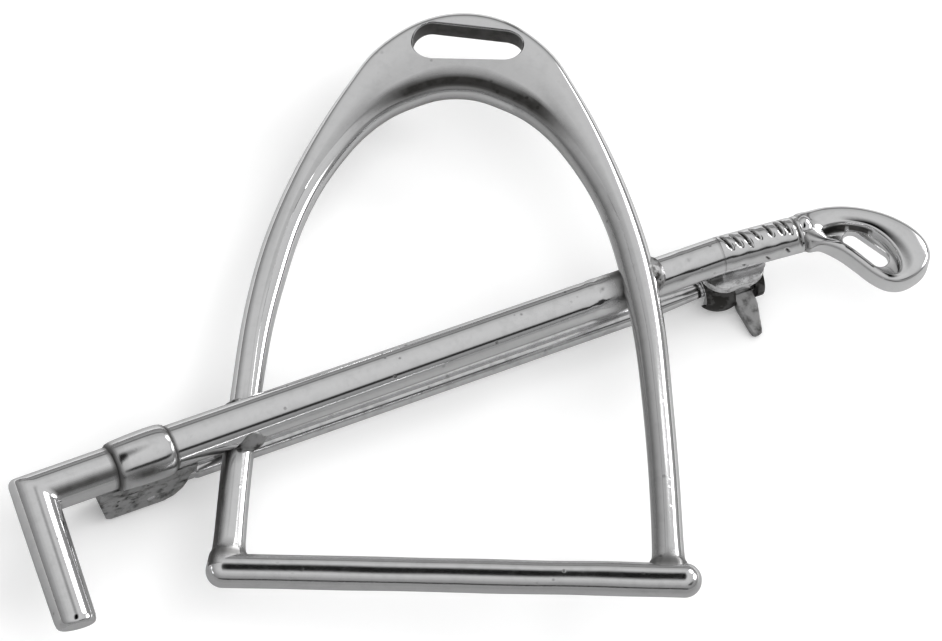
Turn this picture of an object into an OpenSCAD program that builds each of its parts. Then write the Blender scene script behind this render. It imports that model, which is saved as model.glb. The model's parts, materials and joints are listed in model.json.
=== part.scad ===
// Stirrup and hunting whip brooch, lying on its back.
// +Z out of the front, +Y towards the stirrup's eye, +X to the viewer's right. Millimetres.

/* [Stirrup] */
// clear width between the legs at the tread
opening_w = 21.9; // [18:0.1:26]
// height from the tread's centre line to the underside of the arch
opening_h = 29.7; // [24:0.1:36]
// width of each leg at the foot
leg_w = 1.7; // [1.4:0.05:2.2]
// front to back depth of the bow
bow_t = 1.55; // [1.2:0.05:2]
// rounding of the bow's edges
bow_edge = 0.6; // [0.2:0.05:0.7]
// width of the eye slot
eye_w = 6; // [4.5:0.1:7]
// height of the eye slot
eye_h = 2.2; // [1.4:0.05:2.4]
// tread bar diameter
tread_d = 1.86; // [1.5:0.02:2.4]
// how far the tread bar stands out past each leg
tread_over = 0.8; // [0.4:0.05:1.6]
// how far each leg stands off the whip's axis where they cross
weave = 1.15; // [1:0.05:1.6]

/* [Whip] */
// angle of the whip across the stirrup
whip_angle = 25.8; // [20:0.1:30]
// shaft diameter beside the collar
shaft_d1 = 2.46; // [2:0.02:3]
// shaft diameter at the binding
shaft_d2 = 2.06; // [1.6:0.02:2.4]
// how much longer the shaft is than the reach between the two legs it crosses
shaft_over = 9.09; // [8.5:0.05:14]
// collar length
collar_len = 3.45; // [2.5:0.05:5]
// how much the collar stands out over the shaft, on the diameter
collar_swell = 0.5; // [0.3:0.02:0.9]
// handle bar diameter
handle_d = 2.4; // [2:0.02:2.7]
// handle arm length from the collar to the corner
arm_len = 4.55; // [3.5:0.05:7]
// handle hook length from the corner to its end
hook_len = 8.3; // [6:0.1:11]
// angle between the hook and the arm
hook_angle = 97.7; // [88:0.1:102]
// length of the bound end
binding_len = 4.6; // [3.5:0.1:6]
// how far the bound end turns down from the shaft's line
tail_bend = 4.5; // [0:0.5:6]
// number of nicks across the bound end
nicks = 7; // [4:1:10]
// thickness of the keeper loop
keeper_t = 1.5; // [1.1:0.05:1.9]

/* [Pin and findings] */
// depth of the pin's axis behind the whip's axis
pin_drop = 3.5; // [3.3:0.05:4.5]
// pin stem diameter
pin_d = 1.2; // [0.9:0.05:1.3]
// stem diameter inside the catch
pin_tip_d = 0.8; // [0.6:0.02:0.84]
// hinge rivet diameter
rivet_d = 0.56; // [0.4:0.02:0.64]
// thickness of each hinge ear
ear_t = 0.4; // [0.3:0.05:0.6]
// width of the flattened knuckle between the ears
knuckle_w = 0.9; // [0.7:0.02:1.1]
// width of the catch's oblong base
catch_base_d = 2.8; // [2.4:0.1:3.6]
// wall of the turning sleeve
rotor_wall = 0.42; // [0.3:0.02:0.6]
// thickness of the ball housing round the sleeve
ball_wall = 0.55; // [0.45:0.05:0.9]
// reach of the lever from the pin's axis
lever_reach = 3.4; // [2.6:0.05:3.6]

/* [Output] */

/* [Hidden] */
$fn = 48;
silver = [0.78, 0.78, 0.79];
dull = [0.6, 0.6, 0.62];

// running clearances and the smallest gap between two cast pieces
run = 0.05;
seam = 0.01;
rotor_mouth = pin_tip_d + 0.16;
rotor_d = rotor_mouth + 2 * rotor_wall;
bore_r = rotor_d / 2 + run;
ball_r = bore_r + ball_wall;
axis_z = pin_drop + sqrt(ball_r * ball_r - pow(rotor_mouth / 2 + run, 2));
ku = opening_w / 21.9;
kv = opening_h / 29.7;
kk = shaft_d2 / 2.06;
crown_h = 4.96 * kv;
tread_len = opening_w + 2 * leg_w + 2 * tread_over;
collar_d = max(shaft_d1, handle_d) + collar_swell;
origin = [-0.99, -0.4983 * opening_h];
whip_mid = [-0.53, 0.4623 * opening_h];
cross_x = 0.985 * opening_w / 2;
half_span = cross_x / cos(whip_angle);
bow_lean = atan(weave / cross_x);

// stations along the whip, measured from midway between the two crossings
shaft_len = 2 * half_span + shaft_over;
shaft_a = 0.12 - shaft_len / 2;
collar_a = shaft_a - collar_len;
binding_a = shaft_a + shaft_len;
hinge_s = shaft_a - 1;
catch_s = binding_a + 0.35;
pin_reach = catch_s - hinge_s;
function shaft_r(s) = (shaft_d1 + (shaft_d2 - shaft_d1) * (s - shaft_a) / shaft_len) / 2;

// half of the bow, foot to crown: [inner v, inner u, outer v, outer u] in mm
bow_half = [
    [0, 10.7, 0, 13.05], [0.9, 10.8, 0.9, 12.9], [1.7, 10.95, 1.7, 12.7],
    [6.1, 10.72, 6.2, 12.38], [10.5, 10.33, 10.7, 11.98], [14.8, 9.8, 15.2, 11.5],
    [18.4, 9.05, 19, 10.8], [21.2, 8.3, 22.2, 9.88], [23.6, 7.33, 25.2, 8.72],
    [25.7, 6.12, 28, 7.38], [27.3, 4.9, 30.2, 6.15], [28.5, 3.5, 32.1, 4.95],
    [29.3, 1.9, 33.6, 3.3], [29.62, 0.9, 34.4, 1.7], [29.7, 0, 34.66, 0]
];
function sway(v) = 0.3 * pow(v / 34, 4);
function bow_row(r, side) = [
    [side * r[1] * ku, r[0] * kv],
    [side * (r[1] * ku + (r[3] - r[1]) * leg_w / 1.7) + sway(r[2]), r[2] * kv]
];
last = len(bow_half) - 1;
bow_rows = concat(
    [for (i = [0 : last]) bow_row(bow_half[i], -1)],
    [for (i = [1 : last]) bow_row(bow_half[last - i], 1)]
);
function cr(a, b, c, d, t) = 0.5 * (2 * b + (c - a) * t
    + (2 * a - 5 * b + 4 * c - d) * t * t + (3 * b - a - 3 * c + d) * t * t * t);
function at(list, i) = list[min(max(i, 0), len(list) - 1)];
function smooth(list, steps) = concat(
    [for (i = [0 : len(list) - 2], j = [0 : steps - 1])
        cr(at(list, i - 1), list[i], list[i + 1], at(list, i + 2), j / steps)],
    [list[len(list) - 1]]
);
function smooth_loop(p, steps) = [for (i = [0 : len(p) - 1], j = [0 : steps - 1])
    cr(p[(i + len(p) - 1) % len(p)], p[i], p[(i + 1) % len(p)], p[(i + 2) % len(p)], j / steps)];

// the keeper's outline, pocket and slot: [along the whip past its start, to the left]
keeper_outline = [
    [0, 0.98], [1.1, 1], [2.2, 0.85], [3.2, 0.55], [4.2, 0.05], [5.15, -0.65],
    [5.95, -1.55], [6.4, -2.5], [6.4, -3.4], [5.95, -4.1], [5.2, -4.55], [4.3, -4.7],
    [3.5, -4.4], [2.85, -3.7], [2.3, -2.8], [1.7, -1.9], [0.9, -1.2], [0, -0.98]
];
keeper_pocket = [
    [1.2, -0.4], [1.9, -0.3], [2.7, -0.45], [3.6, -0.95], [4.2, -1.7], [4.55, -2.6],
    [4.6, -3.4], [4.35, -4], [3.85, -4.05], [3.35, -3.6], [2.9, -2.85], [2.4, -2],
    [1.85, -1.3], [1.3, -0.85]
];

module on_bow() {
    translate([origin[0], origin[1], axis_z + 0.05])
        rotate([0, -bow_lean, 0])
            children();
}

module on_whip(s, drop = 0) {
    c = cos(whip_angle);
    d = sin(whip_angle);
    translate([origin[0] + whip_mid[0] + s * c, origin[1] + whip_mid[1] + s * d, axis_z - drop])
        rotate([0, 0, whip_angle])
            children();
}

// the bound end's own frame, which starts where the shaft stops
module on_tail(a, drop = 0) {
    on_whip(binding_a, drop)
        rotate([0, 0, -tail_bend])
            translate([a, 0, 0])
                children();
}

module tail_body(skin = 0) {
    on_tail(0)
        rotate([0, 90, 0])
            cylinder(h = binding_len, r = shaft_d2 / 2 + skin);
}

// a round bar along the whip from s, with an extra skin
module bar(s, length, d1, d2, skin = 0) {
    on_whip(s)
        rotate([0, 90, 0])
            cylinder(h = length, r1 = d1 / 2 + skin, r2 = d2 / 2 + skin);
}

module shaft_body(skin = 0) {
    bar(shaft_a, shaft_len, shaft_d1, shaft_d2, skin);
}

module collar_body(skin = 0) {
    r = collar_d / 2 + skin;
    on_whip(collar_a)
        rotate([0, 90, 0])
            rotate_extrude()
                polygon([
                    [0, 0], [r - 0.22, 0], [r - 0.1, 0.35], [r - 0.04, collar_len * 0.35],
                    [r, collar_len * 0.7], [r - 0.03, collar_len * 0.88],
                    [r - 0.14, collar_len], [0, collar_len]
                ]);
}

module tread_body(skin = 0) {
    r = tread_d / 2 + skin;
    half = tread_len / 2 - tread_d / 2;
    on_bow()
        translate([0.3, 0, 0]) {
            rotate([0, 90, 0])
                cylinder(h = 2 * half, r = r, center = true);
            for (e = [-1, 1])
                translate([e * half, 0, 0])
                    sphere(r = r);
        }
}

module bow_skin() {
    rows = smooth(bow_rows, 2);
    n = len(rows);
    m = 16;
    pts = [for (row = rows, k = [0 : m - 1])
        let (
            w = norm(row[1] - row[0]),
            e = (row[1] - row[0]) / w,
            rc = min(bow_edge, w / 2 - 0.02, bow_t / 2 - 0.02),
            q = floor(k / 4),
            sx = (q == 0 || q == 3) ? 1 : -1,
            sz = (q < 2) ? 1 : -1,
            a = q * 90 + (k % 4) * 30,
            along = sx * (w / 2 - rc) + rc * cos(a),
            p = (row[0] + row[1]) / 2 + e * along
        )
        [p[0], p[1], sz * (bow_t / 2 - rc) + rc * sin(a)]];
    sides = [for (j = [0 : n - 2], k = [0 : m - 1])
        let (a = j * m + k, b = j * m + (k + 1) % m)
        [a, a + m, b + m, b]];
    caps = [
        [for (k = [0 : m - 1]) k],
        [for (k = [0 : m - 1]) n * m - 1 - k]
    ];
    on_bow()
        polyhedron(points = pts, faces = concat(sides, caps));
}

module eye_slot() {
    on_bow()
        translate([0.45, opening_h + 0.585 * crown_h, -bow_t])
            linear_extrude(height = 2 * bow_t) {
                square([eye_w - eye_h, eye_h], center = true);
                for (e = [-1, 1])
                    translate([e * (eye_w - eye_h) / 2, 0])
                        circle(d = eye_h);
            }
}

module stirrup_bow() color(silver)
    difference() {
        bow_skin();
        eye_slot();
        shaft_body(seam);
        tread_body(seam);
    }

module tread_bar() color(silver)
    tread_body();

// the hook leaves the arm at a mitre that halves the corner
module whip_handle() color(silver)
    on_whip(collar_a - arm_len) {
        difference() {
            rotate([0, 90, 0])
                translate([0, 0, -handle_d])
                    cylinder(h = arm_len + handle_d, d = handle_d);
            rotate([0, 0, -hook_angle / 2 - 180])
                translate([0, 0, -5])
                    mitre_side(1);
        }
        difference() {
            rotate([0, 0, -hook_angle])
                rotate([0, 90, 0])
                    hook_bar();
            rotate([0, 0, -hook_angle / 2 - 180])
                translate([0, 0, -5])
                    mitre_side(-1);
        }
    }

// a big block on one side of the line through the corner
module mitre_side(side) {
    translate([-20, side > 0 ? 0 : -40, 0])
        cube([40, 40, 10]);
}

module hook_bar() {
    r = handle_d / 2;
    rotate_extrude()
        polygon([
            [0, -2 * r], [r, -2 * r], [r, 0], [r - 0.06, hook_len - 0.35],
            [r - 0.16, hook_len - 0.1], [r - 0.32, hook_len], [0, hook_len]
        ]);
}

tenon_d = 1.6;
module whip_collar() color(silver)
    difference() {
        collar_body();
        bar(collar_a - 1, collar_len + 2, tenon_d, tenon_d);
    }

module whip_shaft() color(silver) {
    shaft_body();
    bar(collar_a, collar_len + 0.2, tenon_d, tenon_d);
}

module whip_binding() color(silver)
    difference() {
        tail_body();
        shaft_body(seam);
        for (i = [0 : nicks - 1])
            on_tail(0.35 + i * (binding_len - 0.8) / (nicks - 1), -shaft_d2 / 2)
                rotate([90, 0, 0])
                    cylinder(h = 4, r = 0.13, center = true, $fn = 6);
    }

module whip_knot() color(silver)
    on_tail(binding_len + 0.43, -keeper_t / 2)
        difference() {
            sphere(r = 0.42);
            translate([-1, -1, -2])
                cube([2, 2, 2]);
        }

module whip_keeper() color(silver)
    on_tail(binding_len)
        difference() {
            translate([0, 0, -keeper_t / 2])
                linear_extrude(height = keeper_t)
                    polygon(kk * smooth_loop(keeper_outline, 2));
            translate([0, 0, -0.1])
                linear_extrude(height = keeper_t)
                    polygon(kk * smooth_loop(keeper_pocket, 2));
            translate([3.3 * kk, -1.85 * kk, -keeper_t])
                rotate([0, 0, -56])
                    linear_extrude(height = 2 * keeper_t) {
                        square([1.7, 0.9], center = true);
                        for (e = [-1, 1])
                            translate([e * 0.85, 0])
                                circle(d = 0.9);
                    }
            translate([-5, -5, -5])
                cube([5 + seam, 10, 10]);
        }

plate_t = 0.4;
plate_top = collar_d / 2;
ear_a = shaft_a - 4.35;
ear_b = shaft_a + 1.2;
ear_rim = 0.8;
ear_low = pin_drop + ear_rim;
module hinge_plate() color(dull)
    difference() {
        on_whip(ear_a, plate_top + plate_t)
            translate([0, -1.05, 0])
                cube([ear_b - ear_a, 2.1, plate_t]);
        collar_body(seam);
    }

module ear(y0) {
    h = ear_low - plate_top - plate_t;
    reach = hinge_s - ear_a;
    on_whip(hinge_s, pin_drop)
        translate([0, y0 + ear_t, 0])
            rotate([90, 0, 0])
                difference() {
                    linear_extrude(height = ear_t) {
                        polygon([
                            [-reach, h - ear_rim], [-reach + 0.7, 0.2 - ear_rim],
                            [-reach + 1, -ear_rim], [0.8, -ear_rim], [1.4, 0.25 - ear_rim],
                            [1.85, 0.8 - ear_rim], [2.1, 1.5 - ear_rim], [2.2, h - ear_rim]
                        ]);
                    }
                    translate([0, 0, -1])
                        cylinder(h = ear_t + 2, d = rivet_d);
                }
}

gap_half = knuckle_w / 2 + run;
module hinge_ear_near() color(dull)
    ear(-gap_half - ear_t);

module hinge_ear_far() color(dull)
    ear(gap_half);

module hinge_rivet() color(silver)
    on_whip(hinge_s, pin_drop)
        rotate([90, 0, 0])
            cylinder(h = 2 * (gap_half + ear_t), d = rivet_d, center = true);

// the solder bed is cut by the outline of the handle, collar and shaft in one turn
rh = handle_d / 2 + seam;
rc = collar_d / 2 + seam;
rs = shaft_d1 / 2 + seam;
module hinge_solder() color(dull)
    difference() {
        on_whip(ear_a - 0.1, plate_top)
            translate([0, -1.15, 0])
                cube([ear_b - ear_a + 0.2, 2.3, 0.85]);
        on_whip(collar_a)
            rotate([0, 90, 0])
                rotate_extrude()
                    polygon([
                        [0, -6], [rh, -6], [rh, -seam], [rc - 0.22, -seam], [rc - 0.1, 0.35],
                        [rc - 0.04, collar_len * 0.35], [rc, collar_len * 0.7],
                        [rc - 0.03, collar_len * 0.88], [rc - 0.14, collar_len + seam],
                        [rs, collar_len + seam], [rs, collar_len + 6], [0, collar_len + 6]
                    ]);
    }

// knuckle, flattened neck, round stem, tapered end and point, in the hinge's frame
neck_w = min(knuckle_w, pin_d * 0.75);
neck_h = pin_d * 0.64;
module pin_stem() color(silver)
    on_whip(hinge_s, pin_drop)
        difference() {
            union() {
                rotate([90, 0, 0])
                    cylinder(h = knuckle_w, d = pin_d, center = true);
                translate([0, -neck_w / 2, -neck_h / 2])
                    cube([2.9, neck_w, neck_h]);
                rotate([0, 90, 0]) {
                    translate([0, 0, 2.8])
                        cylinder(h = pin_reach - 7.2, d = pin_d);
                    translate([0, 0, pin_reach - 4.4])
                        cylinder(h = 3, d1 = pin_d, d2 = pin_tip_d);
                    translate([0, 0, pin_reach - 1.4])
                        cylinder(h = 1.9, d = pin_tip_d);
                    translate([0, 0, pin_reach + 0.5])
                        cylinder(h = 1.3, d1 = pin_tip_d, d2 = 0.2);
                }
            }
            rotate([90, 0, 0])
                cylinder(h = 4, r = rivet_d / 2 + run, center = true);
        }

catch_top = shaft_d2 / 2;
catch_base_t = 0.4;
module catch_plate() color(dull)
    difference() {
        on_whip(catch_s - 0.1, catch_top + catch_base_t - 0.1)
            linear_extrude(height = catch_base_t + 0.1)
                polygon([for (a = [-90 : 15 : 255])
                    [(a <= 90 ? 0.95 : 0) + catch_base_d / 2 * cos(a),
                        catch_base_d / 2 * sin(a) - 0.35]]);
        bar(catch_s - 3, 6, shaft_d2, shaft_d2, 0.13);
    }

// a ball cut flat at both ends, bored for the sleeve, its mouth facing back
cheek = sqrt(ball_r * ball_r - pow(bore_r + 0.07, 2));
module catch_housing() color(silver)
    on_whip(catch_s, pin_drop)
        difference() {
            union() {
                intersection() {
                    sphere(r = ball_r);
                    translate([-cheek, -3, -3])
                        cube([cheek + 0.45, 6, 6]);
                }
                translate([-1, -0.6, bore_r + 0.1])
                    cube([3.2, 1.2, pin_drop - catch_top - catch_base_t - bore_r]);
                translate([1.85, 0, 0])
                    rotate([0, 90, 0])
                        cylinder(h = 0.4, r = ball_r - 0.15);
            }
            rotate([0, 90, 0])
                cylinder(h = 6, r = bore_r, center = true);
            translate([-3, -rotor_mouth / 2 - run, -3])
                cube([6, rotor_mouth + 2 * run, 3]);
        }

rotor_a = 0.1 - cheek;
rotor_b = 2.2;
module catch_rotor() color(silver)
    on_whip(catch_s, pin_drop)
        difference() {
            translate([rotor_a, 0, 0])
                rotate([0, 90, 0])
                    cylinder(h = rotor_b - rotor_a, d = rotor_d);
            rotate([0, 90, 0])
                cylinder(h = 8, d = rotor_mouth, center = true);
            translate([-4, -rotor_mouth / 2, -3])
                cube([8, rotor_mouth, 3]);
        }

lever_droop = 20;
lever_t = 0.5;
module catch_lever() color(silver)
    on_whip(catch_s + 1.13, pin_drop)
        difference() {
            rotate([lever_droop, 0, 0])
                translate([0, 0, -lever_t / 2])
                    linear_extrude(height = lever_t)
                        polygon([
                            [-0.6, -0.4], [0.6, -0.4], [0.6, -1.7], [0.32, -lever_reach + 0.3],
                            [0.24, -lever_reach + 0.1], [0.1, -lever_reach],
                            [-0.1, -lever_reach], [-0.24, -lever_reach + 0.1],
                            [-0.32, -lever_reach + 0.3], [-0.6, -1.7]
                        ]);
            rotate([0, 90, 0])
                cylinder(h = 6, d = rotor_d, center = true);
        }

module solder_ball(side, r, drop) {
    difference() {
        on_whip(side * half_span, drop)
            sphere(r = r);
        shaft_body(seam);
        bow_skin();
    }
}

module cross_solder_left() color(dull)
    solder_ball(-1, 1.5, 0.46);

module cross_solder_right() color(dull)
    solder_ball(1, 1.3, -0.6);

stirrup_bow();
tread_bar();
whip_handle();
whip_collar();
whip_shaft();
whip_binding();
whip_knot();
whip_keeper();
hinge_plate();
hinge_ear_near();
hinge_ear_far();
hinge_rivet();
hinge_solder();
pin_stem();
catch_plate();
catch_housing();
catch_rotor();
catch_lever();
cross_solder_left();
cross_solder_right();
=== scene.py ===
import json
import math

import bmesh
import bpy
from mathutils import Matrix, Vector, noise


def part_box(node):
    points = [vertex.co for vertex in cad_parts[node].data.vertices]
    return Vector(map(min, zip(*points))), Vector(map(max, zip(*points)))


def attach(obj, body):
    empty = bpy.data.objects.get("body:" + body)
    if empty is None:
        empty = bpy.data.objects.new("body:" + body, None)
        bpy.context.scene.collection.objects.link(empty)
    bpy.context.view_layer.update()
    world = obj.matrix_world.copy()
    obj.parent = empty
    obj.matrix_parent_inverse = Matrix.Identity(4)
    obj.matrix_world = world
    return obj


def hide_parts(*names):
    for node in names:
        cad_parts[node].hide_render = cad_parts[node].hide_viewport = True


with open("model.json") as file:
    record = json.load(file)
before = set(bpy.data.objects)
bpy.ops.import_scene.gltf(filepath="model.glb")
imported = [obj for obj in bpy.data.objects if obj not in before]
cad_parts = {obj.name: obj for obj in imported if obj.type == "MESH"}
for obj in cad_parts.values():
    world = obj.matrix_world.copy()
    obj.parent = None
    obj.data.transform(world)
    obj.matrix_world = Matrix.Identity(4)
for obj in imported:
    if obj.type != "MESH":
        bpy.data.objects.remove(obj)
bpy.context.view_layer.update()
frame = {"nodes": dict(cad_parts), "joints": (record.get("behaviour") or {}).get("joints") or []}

# ---------------------------------------------------------------- the sitting
# The brooch lies on its back on a pale sheet under a light tent, its foot towards
# the viewer. The viewer looks down over the tread bar from a long way off.
mm = 0.001
tread_lo, tread_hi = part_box("tread_bar")
tread_mid = (tread_lo + tread_hi) / 2
tread_r = 0.93 * mm
tread_half = (tread_hi.x - tread_lo.x) / 2 - tread_r
lean = math.asin((tread_hi.z - tread_lo.z - 2 * tread_r) / (2 * tread_half))
tread_shift = 0.3 * mm
foot = tread_mid - Vector((math.cos(lean), 0, math.sin(lean))) * tread_shift

# The viewer's height over the sheet, way round from the front, and roll.
height, round_by, roll = math.radians(60.426), math.radians(-10.801), math.radians(13.572)
sight = Vector((math.cos(height) * math.sin(round_by),
                -math.cos(height) * math.cos(round_by), math.sin(height)))
level = Vector((0, 0, 1)).cross(sight).normalized()
sight_right = level * math.cos(roll) + sight.cross(level) * math.sin(roll)
sight_up = sight.cross(sight_right)
stand_off = 1.3
view_width = 50.74 * mm
film_width = 36
eye = bpy.data.objects.new("eye", bpy.data.cameras.new("eye"))
bpy.context.scene.collection.objects.link(eye)
turn = Matrix((sight_right, sight_up, sight)).transposed().to_4x4()
aim = foot + sight_right * 1.232 * mm + sight_up * 13.73 * mm
eye.matrix_world = Matrix.Translation(aim + sight * stand_off) @ turn
eye.data.sensor_width = film_width
eye.data.lens = film_width * stand_off / view_width
eye.data.clip_start = 0.05
eye.data.clip_end = 60
bpy.context.scene.camera = eye
bpy.context.scene.view_settings.view_transform = "Standard"

sheet_bm = bmesh.new()
bmesh.ops.create_grid(sheet_bm, x_segments=1, y_segments=1, size=3)
sheet_mesh = bpy.data.meshes.new("sheet")
sheet_bm.to_mesh(sheet_mesh)
sheet_bm.free()
sheet = bpy.data.objects.new("sheet", sheet_mesh)
bpy.context.scene.collection.objects.link(sheet)
sheet_paint = bpy.data.materials.new("pale_sheet")
sheet_paint.use_nodes = True
sheet_skin = sheet_paint.node_tree.nodes["Principled BSDF"]
sheet_skin.inputs["Roughness"].default_value = 0.9
# To glossy rays the sheet is painted darker on the near side and paler beyond, a painted
# reflection for the metal to pick up; other rays see an even pale grey.
path = sheet_paint.node_tree.nodes.new("ShaderNodeLightPath")
shade = sheet_paint.node_tree.nodes.new("ShaderNodeMix")
shade.data_type = "RGBA"
shade.inputs["A"].default_value = (0.93, 0.93, 0.93, 1)
sheet_tree = sheet_paint.node_tree
place = sheet_tree.nodes.new("ShaderNodeSeparateXYZ")
sheet_tree.links.new(sheet_tree.nodes.new("ShaderNodeTexCoord").outputs["Object"],
                     place.inputs[0])
far = sheet_tree.nodes.new("ShaderNodeMapRange")
for key, value in (("From Min", -0.03), ("From Max", 0.05), ("To Min", 0.24), ("To Max", 0.75)):
    far.inputs[key].default_value = value
sheet_tree.links.new(place.outputs["Y"], far.inputs["Value"])
sheet_tree.links.new(far.outputs["Result"], shade.inputs["B"])
sheet_tree.links.new(path.outputs["Is Glossy Ray"], shade.inputs["Factor"])
sheet_tree.links.new(shade.outputs["Result"], sheet_skin.inputs["Base Color"])
# The sheet glows a little to the viewer, so that the shadow on it is faint.
lift = sheet_tree.nodes.new("ShaderNodeMath")
lift.operation = "MULTIPLY"
lift.inputs[1].default_value = 0.16
sheet_tree.links.new(path.outputs["Is Camera Ray"], lift.inputs[0])
sheet_skin.inputs["Emission Color"].default_value = (1, 1, 1, 1)
sheet_tree.links.new(lift.outputs[0], sheet_skin.inputs["Emission Strength"])
sheet_mesh.materials.append(sheet_paint)

# The tent is the world: a pale dome, darker low down, with the black hole that the
# viewer looks through, dark gaps round its edge, and two bright windows.
tent = bpy.data.worlds.new("tent")
bpy.context.scene.world = tent
tent.use_nodes = True
air = tent.node_tree
air.nodes.clear()
toward = air.nodes.new("ShaderNodeTexCoord").outputs["Generated"]


def patch(centre, reach, edge, strength):
    """A soft-edged oval on the tent round a direction, as a value from 0 to strength."""
    off = air.nodes.new("ShaderNodeVectorMath")
    off.operation = "SUBTRACT"
    air.links.new(toward, off.inputs[0])
    off.inputs[1].default_value = Vector(centre).normalized()
    shape = air.nodes.new("ShaderNodeVectorMath")
    shape.operation = "MULTIPLY"
    air.links.new(off.outputs[0], shape.inputs[0])
    shape.inputs[1].default_value = [1 / r for r in reach]
    size = air.nodes.new("ShaderNodeVectorMath")
    size.operation = "LENGTH"
    air.links.new(shape.outputs[0], size.inputs[0])
    fade = air.nodes.new("ShaderNodeMapRange")
    fade.interpolation_type = "SMOOTHSTEP"
    air.links.new(size.outputs["Value"], fade.inputs["Value"])
    fade.inputs["From Min"].default_value = 1 - edge
    fade.inputs["From Max"].default_value = 1 + edge
    fade.inputs["To Min"].default_value = strength
    fade.inputs["To Max"].default_value = 0
    return fade.outputs["Result"]


def add(a, b, operation="ADD"):
    node = air.nodes.new("ShaderNodeMath")
    node.operation = operation
    for i, v in enumerate((a, b)):
        if isinstance(v, (int, float)):
            node.inputs[i].default_value = v
        else:
            air.links.new(v, node.inputs[i])
    return node.outputs[0]


parts = air.nodes.new("ShaderNodeSeparateXYZ")
air.links.new(toward, parts.inputs[0])
dome = air.nodes.new("ShaderNodeValToRGB")
air.links.new(parts.outputs["Z"], dome.inputs["Fac"])
dome.color_ramp.interpolation = "EASE"
stops = [(0.0, 0.20), (0.2, 0.26), (0.4, 0.34), (0.6, 0.47), (0.78, 0.57), (1.0, 0.62)]
dome.color_ramp.elements[0].position = stops[0][0]
dome.color_ramp.elements[1].position = stops[-1][0]
for at, _ in stops[1:-1]:
    dome.color_ramp.elements.new(at)
for element, (at, grey) in zip(dome.color_ramp.elements, stops):
    element.color = (grey, grey, grey, 1)
dark = patch((-0.07, -0.02, 1.0), (0.20, 0.42, 0.9), 0.42, 1.0)
dark = add(dark, patch((0.62, -0.62, 0.50), (0.34, 0.34, 0.10), 0.5, 0.93))
dark = add(dark, patch((0.0, -1.0, 0.03), (0.42, 0.60, 0.11), 0.30, 1.0))
dark = add(dark, patch((-0.10, 0.90, 0.43), (0.45, 0.40, 0.06), 0.5, 0.55))
open_sky = air.nodes.new("ShaderNodeMath")
open_sky.operation = "SUBTRACT"
open_sky.use_clamp = True
open_sky.inputs[0].default_value = 1
air.links.new(dark, open_sky.inputs[1])
glow = add(dome.outputs["Color"], open_sky.outputs[0], "MULTIPLY")
glow = add(glow, patch((0.50, 0.62, 0.60), (0.17, 0.17, 0.16), 0.45, 6.0))
glow = add(glow, patch((0.86, 0.24, 0.44), (0.14, 0.26, 0.16), 0.45, 6.0))
sky = air.nodes.new("ShaderNodeBackground")
air.links.new(glow, sky.inputs["Strength"])
sky.inputs["Color"].default_value = (1, 1, 1, 1)
air.links.new(sky.outputs[0], air.nodes.new("ShaderNodeOutputWorld").inputs["Surface"])

lamp = bpy.data.objects.new("window", bpy.data.lights.new("window", "AREA"))
bpy.context.scene.collection.objects.link(lamp)
lamp.data.size = 1.3
lamp.data.energy = 8.5
lamp.visible_camera = False
lamp.visible_glossy = False
lamp.location = tread_mid + Vector((0.28, -0.2, 0.95))
lamp.rotation_mode = "QUATERNION"
lamp.rotation_quaternion = (tread_mid - lamp.location).to_track_quat("-Z", "Y")

# ------------------------------------------------------------ the stirrup bow
# A flat cast hoop of silver with softened edges, thin down the legs and broad at
# the crown, where the slot for the leather is pierced. Polished, with old pits.
# Each row is the height and half width of the inner edge, then of the outer edge.
hoop = [
    (0, 10.7, 0, 13.05), (0.9, 10.8, 0.9, 12.9), (1.7, 10.95, 1.7, 12.7),
    (6.1, 10.72, 6.2, 12.38), (10.5, 10.33, 10.7, 11.98), (14.8, 9.8, 15.2, 11.5),
    (18.4, 9.05, 19, 10.8), (21.2, 8.3, 22.2, 9.88), (23.6, 7.33, 25.2, 8.72),
    (25.7, 6.12, 28, 7.38), (27.3, 4.9, 30.2, 6.15), (28.5, 3.5, 32.1, 4.95),
    (29.3, 1.9, 33.6, 3.3), (29.62, 0.9, 34.4, 1.7), (29.7, 0, 34.66, 0),
]
hoop_t = 1.55 * mm
on_bow = Matrix.Translation(foot) @ Matrix.Rotation(-lean, 4, "Y")


def rung(row, side):
    """The inner and outer ends of one line across the hoop; the crown leans right."""
    v_in, u_in, v_out, u_out = row
    sway = 0.3 * (v_out / 34) ** 4
    return Vector((side * u_in, v_in, 0)) * mm, Vector((side * u_out + sway, v_out, 0)) * mm


def between(a, b, c, d, t):
    return 0.5 * (2 * b + (c - a) * t + (2 * a - 5 * b + 4 * c - d) * t * t
                  + (3 * b - a - 3 * c + d) * t * t * t)


def eased(points, steps, loop=False):
    """A smooth run of points through the given ones."""
    n = len(points)
    pick = (lambda i: points[i % n]) if loop else (lambda i: points[min(max(i, 0), n - 1)])
    run = [between(pick(i - 1), pick(i), pick(i + 1), pick(i + 2), s / steps)
           for i in range(n if loop else n - 1) for s in range(steps)]
    return run if loop else run + [points[-1]]


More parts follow.
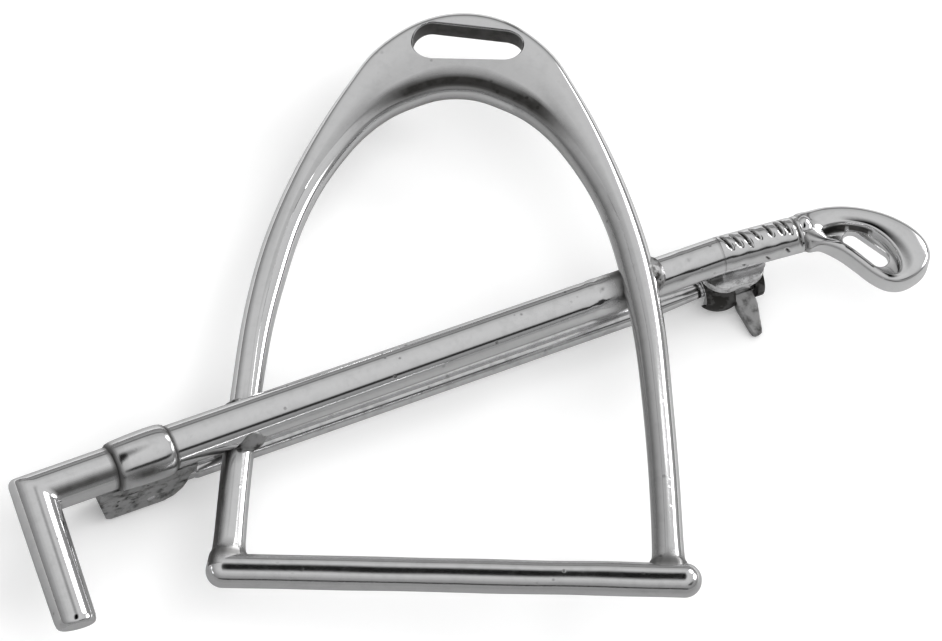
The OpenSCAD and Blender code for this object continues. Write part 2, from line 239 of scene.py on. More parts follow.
def silver_group():
    """Wear on old polished silver: soft dents, fine wiping marks, pits and dull film, plus
    painted shade and painted dark reflections fed in from outside, which darken the colour.
    """
    g = bpy.data.node_groups.new("silver_wear_and_shade", "ShaderNodeTree")
    face = g.interface
    for name, value in (("Dent Size", 900.0), ("Mark Size", 5200.0), ("Pit Size", 1500.0),
                        ("Pits", 0.5), ("Film", 0.1), ("Polish", 0.06), ("Grain", 0.1),
                        ("Painted Shade", 0.0)):
        s = face.new_socket(name=name, in_out="INPUT", socket_type="NodeSocketFloat")
        s.default_value = value
    face.new_socket(name="Color", in_out="OUTPUT", socket_type="NodeSocketColor")
    face.new_socket(name="Roughness", in_out="OUTPUT", socket_type="NodeSocketFloat")
    face.new_socket(name="Height", in_out="OUTPUT", socket_type="NodeSocketFloat")
    n, link = g.nodes, g.links.new
    put = n.new("NodeGroupInput")
    out = n.new("NodeGroupOutput")
    spot = n.new("ShaderNodeTexCoord").outputs["Object"]

    def clouds(size, detail, rough=0.5):
        tex = n.new("ShaderNodeTexNoise")
        link(spot, tex.inputs["Vector"])
        link(put.outputs[size], tex.inputs["Scale"])
        tex.inputs["Detail"].default_value = detail
        tex.inputs["Roughness"].default_value = rough
        return tex.outputs["Fac"]

    def span(value, a, b, c, d):
        r = n.new("ShaderNodeMapRange")
        r.interpolation_type = "SMOOTHSTEP"
        link(value, r.inputs["Value"])
        for key, v in (("From Min", a), ("From Max", b), ("To Min", c), ("To Max", d)):
            r.inputs[key].default_value = v
        return r.outputs["Result"]

    def mix(a, b, how):
        m = n.new("ShaderNodeMath")
        m.operation = how
        for i, v in enumerate((a, b)):
            if isinstance(v, float):
                m.inputs[i].default_value = v
            else:
                link(v, m.inputs[i])
        return m.outputs[0]

    dents = clouds("Dent Size", 2.0)
    marks = clouds("Mark Size", 5.0, 0.65)
    patches = clouds("Pit Size", 4.0, 0.6)
    cells = n.new("ShaderNodeTexVoronoi")
    link(spot, cells.inputs["Vector"])
    link(put.outputs["Pit Size"], cells.inputs["Scale"])
    dots = span(cells.outputs["Distance"], 0.07, 0.20, 1.0, 0.0)
    where = span(dents, 0.52, 0.64, 0.0, 1.0)
    pits = mix(mix(dots, where, "MULTIPLY"), put.outputs["Pits"], "MULTIPLY")
    film = mix(span(patches, 0.42, 0.74, 0.0, 1.0), put.outputs["Film"], "MULTIPLY")
    # The darkening adds the random film and pits to the painted shade given in.
    pits_film_and_shade = n.new("ShaderNodeMath")
    pits_film_and_shade.operation = "ADD"
    pits_film_and_shade.use_clamp = True
    link(film, pits_film_and_shade.inputs[0])
    link(mix(pits, put.outputs["Painted Shade"], "ADD"), pits_film_and_shade.inputs[1])
    tone = n.new("ShaderNodeMix")
    tone.data_type = "RGBA"
    link(pits_film_and_shade.outputs[0], tone.inputs["Factor"])
    tone.inputs["A"].default_value = (0.90, 0.90, 0.905, 1)
    tone.inputs["B"].default_value = (0.06, 0.058, 0.055, 1)
    link(tone.outputs["Result"], out.inputs["Color"])
    rough = mix(put.outputs["Polish"], mix(pits_film_and_shade.outputs[0], 0.35, "MULTIPLY"), "ADD")
    rough = mix(rough, mix(marks, 0.05, "MULTIPLY"), "ADD")
    link(rough, out.inputs["Roughness"])
    high = mix(mix(dents, 0.55, "MULTIPLY"),
               mix(mix(marks, put.outputs["Grain"], "MULTIPLY"), pits, "SUBTRACT"), "ADD")
    link(high, out.inputs["Height"])
    return g


wear_and_shade = silver_group()


def silver(name, bump=0.25, depth=0.05, **values):
    """Silver with its own amount of wear; the values go to the wear group's inputs, and each
    piece's painted shade, stored on its points, darkens it further.
    """
    m = bpy.data.materials.new(name)
    m.use_nodes = True
    tree = m.node_tree
    skin = tree.nodes["Principled BSDF"]
    skin.inputs["Metallic"].default_value = 1.0
    g = tree.nodes.new("ShaderNodeGroup")
    g.node_tree = wear_and_shade
    for key, value in values.items():
        g.inputs[key.replace("_", " ")].default_value = value
    # Reads the painted shade that settle stores on each point.
    painted_shade = tree.nodes.new("ShaderNodeAttribute")
    painted_shade.attribute_name = "painted_shade"
    tree.links.new(painted_shade.outputs["Fac"], g.inputs["Painted Shade"])
    tree.links.new(g.outputs["Color"], skin.inputs["Base Color"])
    tree.links.new(g.outputs["Roughness"], skin.inputs["Roughness"])
    dent = tree.nodes.new("ShaderNodeBump")
    dent.inputs["Strength"].default_value = bump
    dent.inputs["Distance"].default_value = depth * mm
    tree.links.new(g.outputs["Height"], dent.inputs["Height"])
    tree.links.new(dent.outputs["Normal"], skin.inputs["Normal"])
    return m


def settle(name, bm, place, paint, body, nodes, sharp=38, weighted=True, painted_shade_at=None):
    """Turns a finished mesh into a piece of the brooch, in place, that stands for its CAD nodes.
    The shade function gives how dark a point in the piece's own frame, in mm, is painted, as
    painted shade and painted dark reflections."""
    # Painted shade and painted dark reflections, one value for each point, reach the material
    # through a point attribute.
    black = [painted_shade_at(v.co / mm) if painted_shade_at else 0.0 for v in bm.verts]
    bmesh.ops.transform(bm, matrix=place, verts=bm.verts)
    mesh = bpy.data.meshes.new(name)
    bm.to_mesh(mesh)
    mesh.attributes.new("painted_shade", "FLOAT", "POINT").data.foreach_set("value", black)
    bm.free()
    for face in mesh.polygons:
        face.use_smooth = True
    mesh.set_sharp_from_angle(angle=math.radians(sharp))
    mesh.materials.append(paint)
    piece = bpy.data.objects.new(name, mesh)
    bpy.context.scene.collection.objects.link(piece)
    if weighted:
        even = piece.modifiers.new("even", "WEIGHTED_NORMAL")
        even.keep_sharp = True
    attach(piece, body)
    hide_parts(*nodes)
    return piece


def section(width, bulge):
    """The outline of the hoop's section: corners of one radius and a slightly full front."""
    narrow = max(0.0, min(1.0, (3.2 * mm - width) / (1.3 * mm)))
    corner = (0.5 + 0.2 * narrow) * mm
    points = []
    for q in range(4):
        cx = (width / 2 - corner) * (1 if q in (0, 3) else -1)
        cz = (hoop_t / 2 - corner) * (1 if q < 2 else -1)
        for step in range(7):
            a = math.radians(q * 90 + step * 15)
            points.append((cx + corner * math.cos(a), cz + corner * math.sin(a)))
        if q in (0, 2):
            front = 1 if q == 0 else -1
            swell = bulge if q == 0 else 0
            for part in (0.5, 0, -0.5, -0.75, -0.9):
                points.append(((width / 2 - corner) * part * front,
                               (hoop_t / 2 + swell * (1 - 0.25 * abs(part))) * front))
    return points


def grow(bm, ring, places):
    """Draws a closed ring of points out to new places, point for point."""
    edges = [e for e in bm.edges if e.verts[0] in ring and e.verts[1] in ring
             and len(e.link_faces) < 2]
    order = {tuple(v.co): i for i, v in enumerate(ring)}
    made = bmesh.ops.extrude_edge_only(bm, edges=edges)["geom"]
    new = [None] * len(ring)
    for v in [g for g in made if isinstance(g, bmesh.types.BMVert)]:
        new[order[tuple(v.co)]] = v
    for v, p in zip(new, places):
        v.co = p
    return new


def first_ring(bm, places):
    ring = bmesh.ops.create_circle(bm, segments=len(places), radius=mm)["verts"]
    for v, p in zip(ring, places):
        v.co = p
    return ring


def near(value, centre, reach):
    """1 at the centre, easing to 0 at reach either side."""
    part = max(0.0, 1 - abs(value - centre) / reach)
    return part * part * (3 - 2 * part)


left_twist = 0.4
rungs = [rung(r, -1) for r in hoop] + [rung(r, 1) for r in hoop[-2::-1]]
inner = eased([r[0] for r in rungs], 5)
outer = eased([r[1] for r in rungs], 5)
bow = bmesh.new()
ring = None
for a, b in zip(inner, outer):
    width = (b - a).length
    out = (b - a) / width
    turned_in = left_twist * near(b.y / mm, 3, 18) if a.x < 0 else 0.0
    twist = Matrix.Rotation(turned_in, 2)
    places = []
    for point in section(width, 0.03 * mm + width * 0.004):
        x, z = twist @ Vector(point)
        places.append((a + b) / 2 + out * x + Vector((0, 0, z)))
    ring = grow(bow, ring, places) if ring else first_ring(bow, places)
    if a is inner[0]:
        start = ring
for end in (start, ring):
    bmesh.ops.contextual_create(bow, geom=end)
bmesh.ops.recalc_face_normals(bow, faces=bow.faces)

# The slot is a long hole whose top edge droops to the right, flared at both faces.
slot_x, slot_y, slot_half, slot_r = 0.45, 32.6, 1.9, 1.10
slot_cutter = bmesh.new()
rings = []
for high, radius in ((1.5, 1.36), (0.90, 1.34), (0.84, 1.22), (0.75, 1.14), (0.60, slot_r),
                     (-0.5, slot_r), (-0.66, 1.15), (-0.74, 1.22), (-0.80, 1.32), (-1.4, 1.32)):
    ring = bmesh.ops.create_circle(slot_cutter, segments=64, radius=radius * mm)["verts"]
    for v in ring:
        v.co.x += (slot_half if v.co.x > 0 else -slot_half) * mm
        right = max(0.0, min(1.0, v.co.x / (2 * mm)))
        droop = 0.36 * right * right * (3 - 2 * right)
        v.co.y *= 1.12 - droop if v.co.y > 0 else 0.88
    bmesh.ops.translate(slot_cutter, verts=ring, vec=(slot_x * mm, slot_y * mm, high * mm))
    rings.append(ring)
hoops = [list({e for v in ring for e in v.link_edges}) for ring in rings]
for one, two in zip(hoops, hoops[1:]):
    bmesh.ops.bridge_loops(slot_cutter, edges=one + two)
for loop in (hoops[0], hoops[-1]):
    bmesh.ops.contextual_create(slot_cutter, geom=loop)
bmesh.ops.recalc_face_normals(slot_cutter, faces=slot_cutter.faces)


def pierce(bm, cutter):
    """Cuts one closed shape out of another and gives back the result."""
    pair = []
    for name, shape in (("blank", bm), ("cutter", cutter)):
        mesh = bpy.data.meshes.new(name)
        shape.to_mesh(mesh)
        shape.free()
        pair.append(bpy.data.objects.new(name, mesh))
        bpy.context.scene.collection.objects.link(pair[-1])
    cut = pair[0].modifiers.new("cut", "BOOLEAN")
    cut.operation = "DIFFERENCE"
    cut.solver = "EXACT"
    cut.object = pair[1]
    left = pair[0].evaluated_get(bpy.context.evaluated_depsgraph_get()).to_mesh()
    done = bmesh.new()
    done.from_mesh(left)
    for one in pair:
        bpy.data.meshes.remove(one.data)
    return done


cast_silver = silver("cast_silver", bump=0.2, depth=0.06, Pits=0.2, Film=0.05, Polish=0.05,
                     Dent_Size=320.0)


def bow_painted_shade(p):
    """Painted shade and painted dark reflections: black in the slot, under the arch, at the feet,
    where the shaft crosses a leg, along the left leg's outer edge, and in a band beside the
    front's inner edge on the right and at the crown.
    """
    off = math.hypot(max(abs(p.x - slot_x) - slot_half, 0), p.y - slot_y)
    slot = 0.35 if off < slot_r + 0.06 and abs(p.z) < 0.72 else 0
    slot = 0.97 if off < slot_r + 0.26 and abs(p.z) < 0.72 and p.y > slot_y - 0.3 else slot
    left = near(p.y, 8.5 + 0.48 * (p.x + 10.8), 2.1) if p.x < -8 else 0
    right = 0.75 * near(p.y, 19 + 0.48 * (p.x - 10.8), 1.6) if p.x > 8 and p.z < -0.1 else 0
    feet = 0.8 * near(p.y, 0.8, 0.9)
    arch = 0.6 if p.y > 12 and p.z < -0.05 and off > 2 and (abs(p.x) < 9.5) else 0
    side = 0.8 * near(p.x, p.y * 0.11 - 12.95, 0.9) if -0.2 < p.y < 8 else 0
    band = 0
    if p.z > 0.1 and (p.x > 0 or p.y > 22):
        flat = Vector((p.x, p.y, 0)) * mm
        i = min(range(1, len(inner) - 1), key=lambda k: (flat - inner[k]).length)
        along = (inner[i + 1] - inner[i - 1]).normalized()
        edge = (flat - inner[i] - along * (flat - inner[i]).dot(along)).length / mm
        band = min(1.0, 1.5 * near(edge, 0.55, 0.7)) * min(1.0, 1.6 * near(p.x, 0.8, 8.5))
        band = max(band, 0.5 * near(edge, 0.3, 0.9) if p.x > 3 else 0)
    return min(0.97, max(slot, 0.9 * left, right, feet, arch, side, band))


settle("bow", pierce(bow, slot_cutter), on_bow, cast_silver, "brooch",
       ["stirrup_bow"], painted_shade_at=bow_painted_shade)

# -------------------------------------------------------------- the tread bar
# A plain round bar with rounded ends, soldered across both feet of the bow. It is
# hand-finished, so the light on it wavers.


def turned(profile, steps=64):
    """A shape turned about the X axis from (along, radius) points in mm."""
    bm = bmesh.new()
    chain = [bm.verts.new((x * mm, 0, r * mm)) for x, r in profile]
    line = [bm.edges.new(pair) for pair in zip(chain, chain[1:])]
    bmesh.ops.spin(bm, geom=chain + line, cent=(0, 0, 0), axis=(1, 0, 0), dvec=(0, 0, 0),
                   angle=2 * math.pi, steps=steps, use_merge=True, use_duplicate=False)
    bmesh.ops.remove_doubles(bm, verts=bm.verts, dist=1e-7)
    bmesh.ops.recalc_face_normals(bm, faces=bm.faces)
    return bm


def dome_end(x, r, way, steps=10):
    """The rounded end of a bar, as profile points, from the bar's side to its tip."""
    return [(x + way * r * math.sin(a), r * math.cos(a))
            for a in (math.pi / 2 * i / steps for i in range(steps + 1))]


reach = tread_half / mm
bar_r = tread_r / mm
bar = turned(dome_end(-reach, bar_r, -1)[::-1]
             + [(x * 0.25, bar_r) for x in range(-49, 50)] + dome_end(reach, bar_r, 1))
for v in bar.verts:
    v.co += v.co.yz.to_3d().zxy.normalized() * 0.035 * mm * noise.noise(
        Vector((v.co.x * 260, v.co.y * 500, v.co.z * 500)))
bar_silver = silver("bar_silver", bump=0.3, depth=0.08, Pits=0.3, Film=0.08, Polish=0.11,
                    Dent_Size=380.0)
# Painted shade darkens the bar where it meets the feet of the bow.
settle("tread", bar, on_bow @ Matrix.Translation((tread_shift, 0, 0)), bar_silver, "brooch",
       ["tread_bar"],
       painted_shade_at=lambda p: 0.7 * near(abs(p.x), 11.2, 0.8) * near(p.y, bar_r, 0.8))

# ------------------------------------------------------- the whip's long shaft
# A drawn silver rod that thins towards the bound end. It lies over the left leg
# and under the right one, and the pin and catch hang beneath it.
hinge = next(j for j in frame["joints"] if j["name"] == "pin_hinge")
catch = next(j for j in frame["joints"] if j["name"] == "catch_turn")
whip_dir = Vector(catch["axis"])
pin_drop = 3.5 * mm
hinge_at = Vector(hinge["pos_m"])
slant = math.atan2(whip_dir.y, whip_dir.x)
hinge_past = 1.0 * mm
on_hinge = Matrix.Translation(hinge_at) @ Matrix.Rotation(slant, 4, "Z")
on_shaft = on_hinge @ Matrix.Translation((hinge_past, 0, pin_drop))
shaft_len, thick_r, thin_r = 33.05, 1.23, 1.03
rod = turned([(0, 0.7), (0, thick_r), (0.06, thick_r)]
             + [(shaft_len * i / 160, thick_r - (thick_r - thin_r) * i / 160)
                for i in range(1, 161)]
             + [(shaft_len, 0.5)])
for v in rod.verts:
    run = near(v.co.x / mm, 25.6, 1.5) + 0.7 * near(v.co.x / mm, 30.6, 1.2)
    v.co += v.co.yz.to_3d().zxy.normalized() * run * 0.05 * mm * noise.fractal(
        v.co * 2600, 1.0, 2.0, 3)
rod_silver = silver("rod_silver", bump=0.2, depth=0.05, Pits=0.6, Film=0.07, Polish=0.05,
                    Dent_Size=420.0)


def rod_painted_shade(p):
    """Painted shade and a painted dark reflection: black against the collar and faintly at the
    bound end, beside the right leg's crossing, and in the line over the pin.
    """
    ends = max(0.9 * near(p.x, 0, 0.22), 0.5 * near(p.x, shaft_len, 0.15))
    ends = max(ends, 0.9 * near(math.degrees(math.atan2(p.y, p.z)), -120, 30))
    under = 0.95 * near(p.x, 27.4, 1.9) if p.z > -0.6 else 0.6 * near(p.x, 27.4, 1.9)
    return max(ends, under)


settle("shaft", rod, on_shaft, rod_silver, "brooch", ["whip_shaft"],
       painted_shade_at=rod_painted_shade)

# ------------------------------------------------------------------ the collar
# A swelled band slipped over the joint between shaft and handle.
collar_len = 3.45
band = turned([(0, 1.0), (0, 1.2), (0.04, 1.27), (0.14, 1.34), (0.35, 1.39), (0.8, 1.42),
               (1.3, 1.45), (1.9, 1.47), (2.4, 1.48), (2.8, 1.47), (3.1, 1.45),
               (3.3, 1.40), (3.41, 1.34), (3.45, 1.26), (3.45, 1.0)])
band_silver = silver("band_silver", bump=0.25, depth=0.06, Pits=0.5, Film=0.08, Polish=0.05,
                     Dent_Size=600.0)
# Painted shade blackens both ends of the collar against their neighbours, and a painted dark
# reflection runs along its lower side.
settle("collar", band, on_shaft @ Matrix.Translation((-collar_len * mm, 0, 0)), band_silver,
       "brooch", ["whip_collar"],
       painted_shade_at=lambda p: max(0.9 * near(p.x, 0, 0.5), 0.95 * near(p.x, collar_len, 0.3),
                            0.85 * near(math.degrees(math.atan2(p.y, p.z)), -62, 26)
                            * near(p.x, 1.5, 2.0)))

# ------------------------------------------------------------------ the handle
# The same rod turned down at a mitred corner, filed round, with a slightly slanted end.
arm_len, hook_len, hook_angle, rod_r = 4.55, 8.3, math.radians(97.7), 1.2
hook = bmesh.new()
ring = bmesh.ops.create_circle(hook, segments=64, radius=rod_r * mm)["verts"]
bmesh.ops.rotate(hook, verts=ring, cent=(0, 0, 0), matrix=Matrix.Rotation(math.pi / 2, 3, "Y"))
bmesh.ops.translate(hook, verts=ring, vec=(arm_len * mm, 0, 0))
loop = hook.edges[:]


def drawn_out(bm, loop, shift):
    """Pulls a ring of edges to a new place, given by shift, and returns the new ring."""
    made = bmesh.ops.extrude_edge_only(bm, edges=loop)["geom"]
    for v in [g for g in made if isinstance(g, bmesh.types.BMVert)]:
        v.co = shift(v.co.copy())
    return [g for g in made if isinstance(g, bmesh.types.BMEdge)]


half = hook_angle / 2
loop = drawn_out(hook, loop, lambda p: p - Vector((0.3 * mm, 0, 0)))
loop = drawn_out(hook, loop, lambda p: Vector((0.35 * mm - p.y / math.tan(half), p.y, p.z)))
loop = drawn_out(hook, loop, lambda p: Vector((-p.y / math.tan(half), p.y, p.z)))
mitre = loop
along = Vector((math.cos(hook_angle), -math.sin(hook_angle), 0))
across = Vector((math.sin(hook_angle), math.cos(hook_angle), 0))
for at, slim in ((1.5, 1), (hook_len - 0.5, 0.96), (hook_len - 0.2, 0.96),
                 (hook_len - 0.07, 0.94), (hook_len, 0.90)):
    slant_by = 0.3 if at > 3 else 0
    loop = drawn_out(hook, loop, lambda p: along * (at * mm + slant_by * (p.z / rod_r - 0.3 * mm))
                     + (across * p.dot(across) + Vector((0, 0, p.z))) * slim)
bmesh.ops.contextual_create(hook, geom=loop)
bmesh.ops.bevel(hook, geom=mitre, offset=0.22 * mm, segments=4, profile=0.5,
                affect="EDGES", material=-1)
bmesh.ops.recalc_face_normals(hook, faces=hook.faces)
on_corner = on_shaft @ Matrix.Translation((-(collar_len + arm_len) * mm, 0, 0))


def hook_painted_shade(p):
    """Painted shade black against the collar, and a painted dark reflection along the lower side
    of the arm.
    """
    past = min(1.0, max(0.0, (p.x + p.y / math.tan(half)) / 0.35))
    low = near(math.degrees(math.atan2(p.y, p.z)), -36, 25)
    return max(0.9 * near(p.x, arm_len, 0.3), 0.85 * low * past)


settle("handle", hook, on_corner, rod_silver, "brooch", ["whip_handle"], sharp=50,
       painted_shade_at=hook_painted_shade)

# ------------------------------------------------------- solder at the crossings
# Grey lumpy solder run into the gaps where the shaft meets the two legs; the right
# one sits a little tighter than its CAD part.


def softened(node, offset, segments=2, lumps=0.0, size=1.0, seed=0):
    """A copy of a CAD part with its corners eased, and roughened like run solder if asked."""
    bm = bmesh.new()
    bm.from_mesh(frame["nodes"][node].data)
    bmesh.ops.remove_doubles(bm, verts=bm.verts, dist=2e-6)
    bmesh.ops.dissolve_limit(bm, angle_limit=0.02, verts=bm.verts, edges=bm.edges)
    corners = [e for e in bm.edges if e.is_manifold and e.calc_face_angle() > 0.6]
    if offset:
        bmesh.ops.bevel(bm, geom=corners, offset=offset * mm, segments=segments, profile=0.5,
                        affect="EDGES", material=-1, clamp_overlap=True)
    if lumps:
        bmesh.ops.triangulate(bm, faces=bm.faces)
        for _ in range(3):
            long = [e for e in bm.edges if e.calc_length() > 0.16 * mm]
            bmesh.ops.subdivide_edges(bm, edges=long, cuts=1)
            bmesh.ops.triangulate(bm, faces=bm.faces)
        bm.normal_update()
        moves = [v.normal * lumps * mm * noise.fractal(v.co * (1000 / size)
                 + Vector((seed, 0, 0)), 1.0, 2.0, 3) for v in bm.verts]
        for v, move in zip(bm.verts, moves):
            v.co += move
    return bm


here = Matrix.Identity(4)
solder_grey = silver("solder_grey", bump=0.5, depth=0.08, Pits=0.8, Film=0.6, Polish=0.18,
                     Dent_Size=1800.0, Grain=0.4)
for side, seed, snug in (("left", 3, 1.0), ("right", 8, 0.88)):
    blob = softened("cross_solder_" + side, 0, lumps=0.05, size=0.5, seed=seed)
    heart = sum((v.co for v in blob.verts), Vector()) / len(blob.verts)
    for v in blob.verts:
        v.co = heart + (v.co - heart) * snug
    # Both runs of solder are darkened evenly by half as painted shade.
    settle("run_solder_" + side, blob, here, solder_grey, "brooch",
           ["cross_solder_" + side], sharp=80, painted_shade_at=lambda p: 0.5)

# ------------------------------------------------------------- the bound end
# The last stretch of the rod, nicked across with a graver to look like whipping.
bind_len, tail_bend = 4.6, math.radians(4.5)
on_tail = (on_shaft @ Matrix.Translation((shaft_len * mm, 0, 0))
           @ Matrix.Rotation(-tail_bend, 4, "Z"))
# Each nick: place along, angles of its top and foot, lean, depth.
cuts = [(0.15, 50, -24, 0.40, 0.14), (0.70, 46, -24, 0.40, 0.13), (1.24, 50, -32, 0.42, 0.14),
        (1.85, 46, -14, 0.36, 0.13), (2.66, 60, -16, 0.26, 0.14), (3.30, 48, -20, 0.22, 0.13),
        (3.66, 62, -26, 0.30, 0.14), (1.0, -78, -92, 0.1, 0.10), (2.3, -70, -96, 0.3, 0.10),
        (3.5, -60, -80, 0.2, 0.10), (4.3, 80, -80, 0.15, 0.10)]
nick_shade = {}
bound = turned([(0, 0.5)] + [(bind_len * i / 100, thin_r) for i in range(101)]
               + [(bind_len, 0.5)], steps=120)
for v in bound.verts:
    x, r = v.co.x / mm, math.hypot(v.co.y, v.co.z) / mm
    if r < 1:
        continue
    turned_by = math.degrees(math.atan2(v.co.y, v.co.z))
    sunk = 0
    for at, top, low, slide, deep in cuts:
        reach = (top - turned_by) / (top - low)
        edge = max(0.0, min(1.0, 4.5 * min(reach, 1 - reach)))
        away = (x - at - slide * reach) / 0.085
        sunk = max(sunk, deep * edge * math.exp(-away * away))
    lower = max(0.0, math.cos(math.radians((turned_by + 45) * 3))) if -75 < turned_by < -15 else 0
    sunk += 0.02 * lower * math.sin(x * 3.1) ** 2
    v.co.y *= (r - sunk) / r
    v.co.z *= (r - sunk) / r
    # Each point is painted dark by how deep its nick is, as painted shade in the grooves.
    nick_shade[tuple(round(c * 1e9) for c in v.co)] = min(0.97, max(0.0, sunk - 0.02) * 15)
cut_silver = silver("cut_silver", bump=0.25, depth=0.05, Pits=0.7, Film=0.10, Polish=0.06)
settle("binding", bound, on_tail, cut_silver, "brooch", ["whip_binding"], sharp=60,
       painted_shade_at=lambda p: nick_shade.get(tuple(round(c * mm * 1e9) for c in p), 0.0))

# ------------------------------------------------------------- knot and keeper
# A bright bead of a knot, then the flat leather loop of a hunting whip cast as a
# hollowed tongue with a slot through its floor.
knot = bmesh.new()
bmesh.ops.create_icosphere(knot, subdivisions=2, radius=0.42 * mm)
bmesh.ops.scale(knot, verts=knot.verts, vec=(1.0, 1.25, 0.62))
for v in knot.verts:
    v.co *= 1 + 0.10 * noise.noise(v.co * 3000)
bead = [e for e in knot.edges if e.calc_face_angle() > 0.3]
bmesh.ops.bevel(knot, geom=bead, offset=0.02 * mm, segments=1, profile=0.5, affect="EDGES",
                material=-1)
settle("knot", knot, on_tail @ Matrix.Translation((0.32 * mm + bind_len * mm, 0.05 * mm,
       0.86 * mm)), cut_silver, "brooch", ["whip_knot"], sharp=20)

rim = [
    (0, 0.98), (1.1, 1), (2.2, 0.85), (3.2, 0.55), (4.2, 0.05), (5.15, -0.65), (5.95, -1.55),
    (6.4, -2.5), (6.4, -3.4), (5.95, -4.1), (5.2, -4.55), (4.3, -4.7), (3.5, -4.4),
    (2.85, -3.7), (2.3, -2.8), (1.7, -1.9), (0.9, -1.2), (0, -0.98),
]
hollow = [
    (1.2, -0.4), (1.9, -0.3), (2.7, -0.45), (3.6, -0.95), (4.2, -1.7), (4.55, -2.6),
    (4.6, -3.4), (4.35, -4), (3.85, -4.05), (3.35, -3.6), (2.9, -2.85), (2.4, -2),
    (1.85, -1.3), (1.3, -0.85),
]


def even_loop(points, count=120):
    """The smooth loop through some points, as so many points spaced evenly along it."""
    fine = eased([Vector((x, y, 0)) for x, y in points], 12, loop=True)
    spans = [(q - p).length for p, q in zip(fine, fine[1:] + fine[:1])]
    total, out, i, gone = sum(spans), [], 0, 0.0
    for k in range(count):
        want = total * k / count
        while gone + spans[i] < want:
            gone += spans[i]
            i += 1
        out.append(fine[i].lerp(fine[(i + 1) % len(fine)], (want - gone) / spans[i]))
    return out


def shifted(loop, inset, high):
    """A loop moved in from its edge by inset, at a height, in metres."""
    out = []
    for i, p in enumerate(loop):
        side = loop[(i + 2) % len(loop)] - loop[i - 2]
        inward = Vector((side.y, -side.x, 0)).normalized()
        q = p + inward * inset
        q.x = max(q.x, 0.01)
        near_bar = max(0.0, 1 - q.x / 1.9) ** 1.5
        round_high = high / 0.75 * math.sqrt(max(0.03, 1.05 - q.y * q.y))
        out.append(Vector((q.x, q.y, high + (round_high - high) * near_bar)) * mm)
    return out


rim_loop = even_loop(rim)
hollow_loop = even_loop(hollow)
slot_turn = math.radians(-56)
slit_half, slit_r = 0.93, 0.5
slot_loop = []
for i in range(120):
    a = 2 * math.pi * (i / 120)
    far = slit_half if math.cos(a) > 0 else -slit_half
    x, y = far + slit_r * math.cos(a), slit_r * math.sin(a)
    slot_loop.append(Vector((3.3 + x * math.cos(slot_turn) - y * math.sin(slot_turn),
                             -1.85 + x * math.sin(slot_turn) + y * math.cos(slot_turn), 0)))
slot_loop = slot_loop[::-1]
best = min(range(120), key=lambda s: sum((hollow_loop[i] - slot_loop[(i + s) % 120]).length
                                         for i in range(0, 120, 5)))
slot_loop = slot_loop[best:] + slot_loop[:best]
best = min(range(120), key=lambda s: sum((rim_loop[i] - hollow_loop[(i + s) % 120]).length
                                         for i in range(0, 120, 5)))
hollow_loop = hollow_loop[best:] + hollow_loop[:best]
slot_loop = slot_loop[best:] + slot_loop[:best]
keeper = bmesh.new()
steps = ([(rim_loop, i, z) for i, z in ((0.32, -0.75), (0.14, -0.71), (0.04, -0.62), (0, -0.5),
                                        (0, 0.1), (0, 0.42), (0.05, 0.58), (0.16, 0.69),
                                        (0.32, 0.75))]
         + [(hollow_loop, i, z) for i, z in ((-0.16, 0.75), (-0.06, 0.71), (-0.01, 0.62),
                                             (0, 0.4), (0.03, 0.0), (0.10, -0.1))]
         + [(slot_loop, i, z) for i, z in ((-0.08, -0.12), (-0.02, -0.16), (0, -0.3),
                                           (0, -0.6), (-0.03, -0.71), (-0.10, -0.75))])
ring = start = first_ring(keeper, shifted(*steps[0]))
for step in steps[1:]:
    ring = grow(keeper, ring, shifted(*step))
edges = [e for e in keeper.edges if len(e.link_faces) == 1]
bmesh.ops.bridge_loops(keeper, edges=edges)
bmesh.ops.recalc_face_normals(keeper, faces=keeper.faces)


def keeper_painted_shade(p):
    """Painted shade: black down the hollow's upper wall and in the corner behind the knot."""
    inside = min((Vector((p.x, p.y, 0)) - q).length for q in hollow_loop)
    wall = 0.96 if inside < 0.16 and -0.14 < p.z < 0.55 else 0
    return max(wall * (1 if p.y + 0.62 * p.x > 1.2 or p.x < 2.6 else 0.3),
               0.6 * near(p.x, 0.1, 0.25))


settle("keeper", keeper, on_tail @ Matrix.Translation((bind_len * mm, 0, 0)), cast_silver,
       "brooch", ["whip_keeper"], sharp=60, painted_shade_at=keeper_painted_shade)

# ------------------------------------------------------------------ the hinge
# A soldered plate with two ears and a rivet, dull from the torch, with bed, plate and ears
# darkened evenly as painted shade.
dull_silver = silver("dull_silver", bump=0.4, depth=0.06, Pits=0.7, Film=0.65, Polish=0.14,
                     Grain=0.3)
smoked_silver = silver("smoked_silver", bump=0.35, depth=0.05, Pits=0.5, Film=0.45, Polish=0.12)
settle("hinge_bed", softened("hinge_solder", 0.05, lumps=0.05, size=0.6, seed=5), here,
       solder_grey, "brooch", ["hinge_solder"], sharp=80, painted_shade_at=lambda p: 0.42)
settle("hinge_base", softened("hinge_plate", 0.08), here, dull_silver, "brooch",
       ["hinge_plate"], painted_shade_at=lambda p: 0.4)
for side in ("near", "far"):
    settle("ear_" + side, softened("hinge_ear_" + side, 0.07, segments=3), here, dull_silver,
           "brooch", ["hinge_ear_" + side], painted_shade_at=lambda p: 0.34)
bright_steel = silver("pin_silver", bump=0.15, depth=0.03, Pits=0.3, Film=0.25, Polish=0.10)
rivet = turned([(-0.90, 0), (-0.90, 0.2), (-0.87, 0.25), (-0.82, 0.28), (0.82, 0.28),
                (0.87, 0.25), (0.90, 0.2), (0.90, 0)], steps=32)
settle("rivet", rivet, on_hinge @ Matrix.Rotation(math.pi / 2, 4, "Z"), bright_steel, "brooch",
       ["hinge_rivet"])

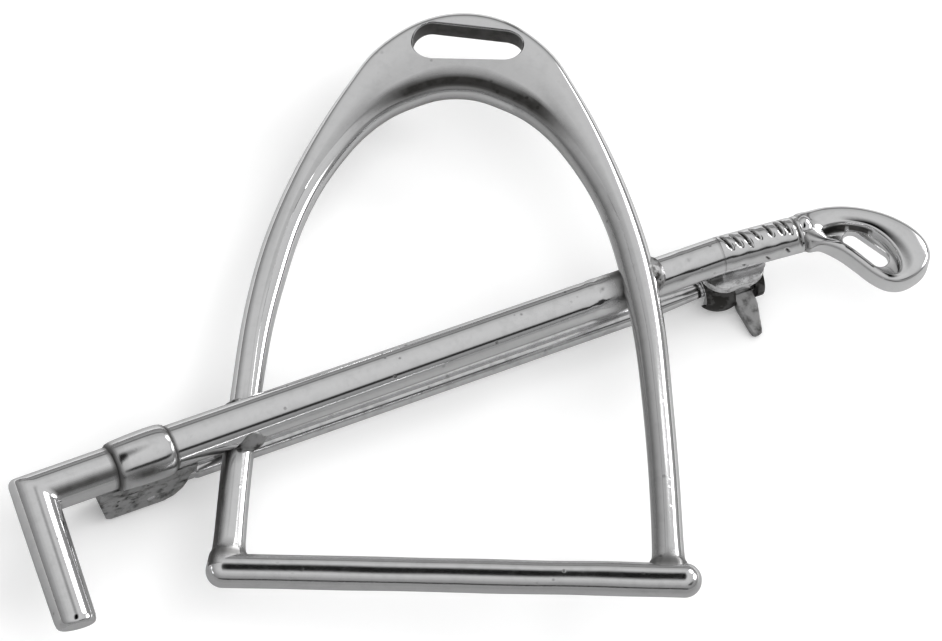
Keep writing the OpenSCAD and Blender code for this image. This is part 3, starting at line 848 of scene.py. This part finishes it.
# -------------------------------------------------------------------- the pin
# A drawn wire with a flattened, drilled root that turns on the rivet, and a ground point.
wire = turned([(2.5, 0.2), (2.7, 0.45), (2.85, 0.56), (3.0, 0.6), (9, 0.6), (16, 0.6),
               (23, 0.6), (30, 0.6), (31.5, 0.5), (33, 0.4), (34.9, 0.4), (35.6, 0.24),
               (36.05, 0.12), (36.2, 0)], steps=48)
neck = bmesh.new()
bmesh.ops.create_cube(neck, size=1)
bmesh.ops.scale(neck, verts=neck.verts, vec=(2.4 * mm, 0.9 * mm, 0.768 * mm))
bmesh.ops.translate(neck, verts=neck.verts, vec=(1.7 * mm, 0, 0))
bmesh.ops.bevel(neck, geom=neck.edges[:], offset=0.14 * mm, segments=3, profile=0.5,
                affect="EDGES", material=-1)
eyelet = bmesh.new()
chain = [eyelet.verts.new((x * mm, 0, r * mm)) for x, r in
         ((-0.45, 0.34), (-0.45, 0.54), (-0.39, 0.6), (0.39, 0.6), (0.45, 0.54), (0.45, 0.34))]
line = [eyelet.edges.new(pair) for pair in zip(chain, chain[1:] + chain[:1])]
bmesh.ops.spin(eyelet, geom=chain + line, cent=(0, 0, 0), axis=(1, 0, 0), dvec=(0, 0, 0),
               angle=2 * math.pi, steps=48, use_merge=True, use_duplicate=False)
bmesh.ops.remove_doubles(eyelet, verts=eyelet.verts, dist=1e-7)
bmesh.ops.recalc_face_normals(eyelet, faces=eyelet.faces)
bmesh.ops.rotate(eyelet, verts=eyelet.verts, cent=(0, 0, 0),
                 matrix=Matrix.Rotation(math.pi / 2, 3, "Z"))
for part in (neck, eyelet):
    spare = bpy.data.meshes.new("spare")
    part.to_mesh(spare)
    part.free()
    wire.from_mesh(spare)
    bpy.data.meshes.remove(spare)
settle("pin", wire, on_hinge, bright_steel, "pin", ["pin_stem"])

# ------------------------------------------------------------------ the catch
# A ball on an oblong base, bored for a sleeve that a small thumb lever turns over
# the pin's end.
settle("catch_base", softened("catch_plate", 0.07, segments=3), here, dull_silver, "brooch",
       ["catch_plate"])
# Painted shade makes the ball's underside near black and the rest of it dark.
settle("catch_ball", softened("catch_housing", 0.05), here, smoked_silver, "brooch",
       ["catch_housing"],
       painted_shade_at=lambda p: 0.9 if p.z < 3.0 else 0.5)
settle("sleeve", softened("catch_rotor", 0.04), here, bright_steel, "catch",
       ["catch_rotor"])
# The lever is darkened evenly by half as painted shade.
settle("thumb_lever", softened("catch_lever", 0.09, segments=3), here, smoked_silver, "catch",
       ["catch_lever"], painted_shade_at=lambda p: 0.5)
